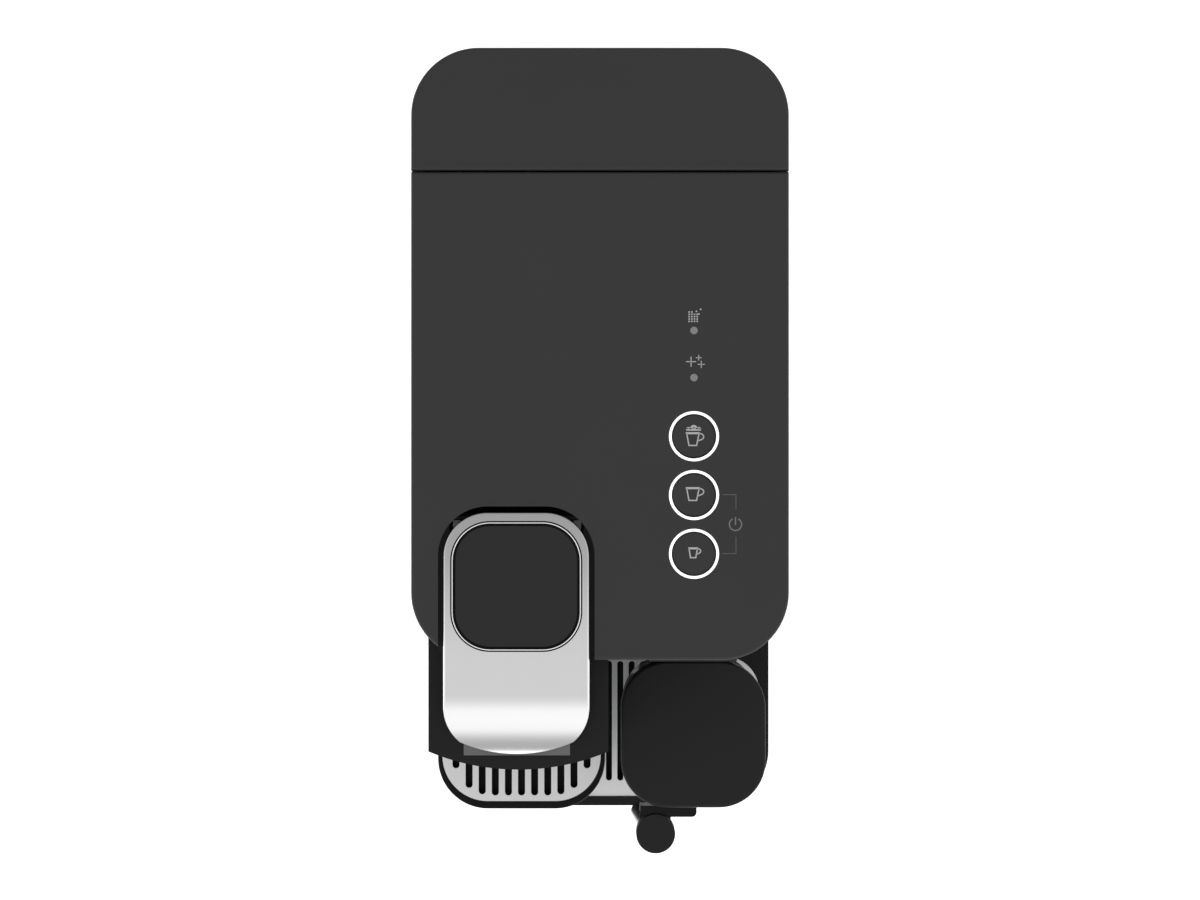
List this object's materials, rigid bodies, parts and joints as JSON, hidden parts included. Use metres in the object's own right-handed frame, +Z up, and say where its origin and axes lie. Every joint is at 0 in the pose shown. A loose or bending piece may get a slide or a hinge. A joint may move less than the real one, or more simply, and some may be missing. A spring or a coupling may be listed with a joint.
{
  "type": "pod coffee machine",
  "caption": "Black pod coffee machine with a chrome lever, round lit buttons, rear water tank, slotted cup trays and a docked milk jug with a spout.",
  "frame": {"origin": "middle of the bounding box, on the table under the feet", "axes": "+X to the machine's right as seen from its front, +Y to its back, +Z up"},
  "size_m": [0.154, 0.3364, 0.252],
  "materials": {
    "case_black": "fine matte",
    "gloss_black": "gloss",
    "satin_black": "satin",
    "lid_black": "matte",
    "chrome": "polished",
    "grid_steel": "satin",
    "spring_steel": "machined",
    "trim_grey": "satin",
    "tank_clear": "clear smoke",
    "jug_clear": "clear",
    "light_white": "light pipe",
    "light_grey": "light pipe",
    "rubber_black": "matte",
    "seal_grey": "matte",
    "heater_alloy": "cast",
    "pump_white": "moulded",
    "board_green": "lacquered"
  },
  "bodies": {
    "machine": {"base_plate": "satin_black", "rubber_feet": "rubber_black", "left_side_panel": "case_black", "right_side_panel": "case_black", "rear_bulkhead": "case_black", "front_panel": "satin_black", "inner_deck": "pump_white", "top_panel": "case_black", "milk_coffee_light_ring": "light_white", "long_coffee_light_ring": "light_white", "short_coffee_light_ring": "light_white", "descale_light": "light_grey", "rinse_light": "light_grey", "button_board": "board_green", "tank_seat": "satin_black", "cord_gland": "rubber_black", "tank_seal": "seal_grey", "lever_shaft": "spring_steel", "brew_frame": "satin_black", "capsule_chute": "satin_black", "extraction_plate": "spring_steel", "head_cover": "satin_black", "head_trim": "trim_grey", "coffee_duct": "pump_white", "coffee_outlet": "gloss_black", "steam_socket": "satin_black", "pump_mounts": "rubber_black", "water_pump": "pump_white", "flow_meter": "pump_white", "thermoblock": "heater_alloy", "steam_valve": "spring_steel", "control_board": "board_green", "pressure_hose": "pump_white", "case_screws": "spring_steel"},
    "lever": {"lever_frame": "chrome", "lever_insert": "satin_black", "lever_crank": "satin_black"},
    "cage": {"capsule_cage": "heater_alloy", "cage_yoke": "spring_steel"},
    "tank": {"water_tank": "tank_clear"},
    "lid": {"tank_lid": "case_black"},
    "valve": {"tank_valve": "pump_white"},
    "tray": {"drip_tray": "satin_black", "capsule_bin": "satin_black"},
    "grid": {"drip_grid": "grid_steel"},
    "cup_shelf": {"cup_support": "gloss_black"},
    "cup_plate": {"cup_grid": "grid_steel"},
    "jug": {"jug_lid": "lid_black", "jug_seal": "seal_grey", "suction_tube": "pump_white", "frother_body": "gloss_black", "steam_nipple": "spring_steel", "spout_bracket": "gloss_black"},
    "container": {"milk_container": "jug_clear"},
    "spout": {"spout_cap": "lid_black", "spout_nozzle": "jug_clear"},
    "milk_key": {"milk_coffee_button": "case_black"},
    "long_key": {"long_coffee_button": "case_black"},
    "short_key": {"short_coffee_button": "case_black"}
  },
  "joints": [
    {"name": "lever_hinge", "type": "hinge", "parent": "machine", "child": "lever", "pos_m": [-0.0341, -0.02345, 0.2488], "axis": [-1, 0, 0], "range_deg": [0, 75]},
    {"name": "cage_slide", "type": "slide", "parent": "machine", "child": "cage", "axis": [0, -1, 0], "range_m": [0, 0.03166]},
    {"name": "tank_lift", "type": "slide", "parent": "machine", "child": "tank", "axis": [0, 0, 1], "range_m": [0, 0.12]},
    {"name": "tank_lid_lift", "type": "slide", "parent": "tank", "child": "lid", "axis": [0, 0, 1], "range_m": [0, 0.05]},
    {"name": "tank_valve_slide", "type": "slide", "parent": "tank", "child": "valve", "axis": [0, 0, 1], "range_m": [0, 0.003], "stiffness_N_per_m": 60},
    {"name": "drip_tray_slide", "type": "slide", "parent": "machine", "child": "tray", "axis": [0, -1, 0], "range_m": [0, 0.13]},
    {"name": "drip_grid_lift", "type": "slide", "parent": "tray", "child": "grid", "axis": [0, 0, 1], "range_m": [0, 0.02]},
    {"name": "cup_support_slide", "type": "slide", "parent": "machine", "child": "cup_shelf", "axis": [0, -1, 0], "range_m": [0, 0.1]},
    {"name": "cup_grid_lift", "type": "slide", "parent": "cup_shelf", "child": "cup_plate", "axis": [0, 0, 1], "range_m": [0, 0.03]},
    {"name": "jug_slide", "type": "slide", "parent": "machine", "child": "jug", "axis": [0, -1, 0], "range_m": [0, 0.1]},
    {"name": "milk_container_drop", "type": "slide", "parent": "jug", "child": "container", "axis": [0, 0, -1], "range_m": [0, 0.03]},
    {"name": "spout_swivel", "type": "hinge", "parent": "jug", "child": "spout", "pos_m": [0.0238, -0.15987, 0.14], "axis": [0, 0, 1], "range_deg": [-70, 70]},
    {"name": "milk_coffee_press", "type": "slide", "parent": "machine", "child": "milk_key", "axis": [0, 0, -1], "range_m": [0, 0.001], "stiffness_N_per_m": 300},
    {"name": "long_coffee_press", "type": "slide", "parent": "machine", "child": "long_key", "axis": [0, 0, -1], "range_m": [0, 0.001], "stiffness_N_per_m": 300},
    {"name": "short_coffee_press", "type": "slide", "parent": "machine", "child": "short_key", "axis": [0, 0, -1], "range_m": [0, 0.001], "stiffness_N_per_m": 300}
  ],
  "couplings": [
    {"joint": "cage_slide", "follows": "lever_hinge", "m_per_rad": 0.024183}
  ]
}
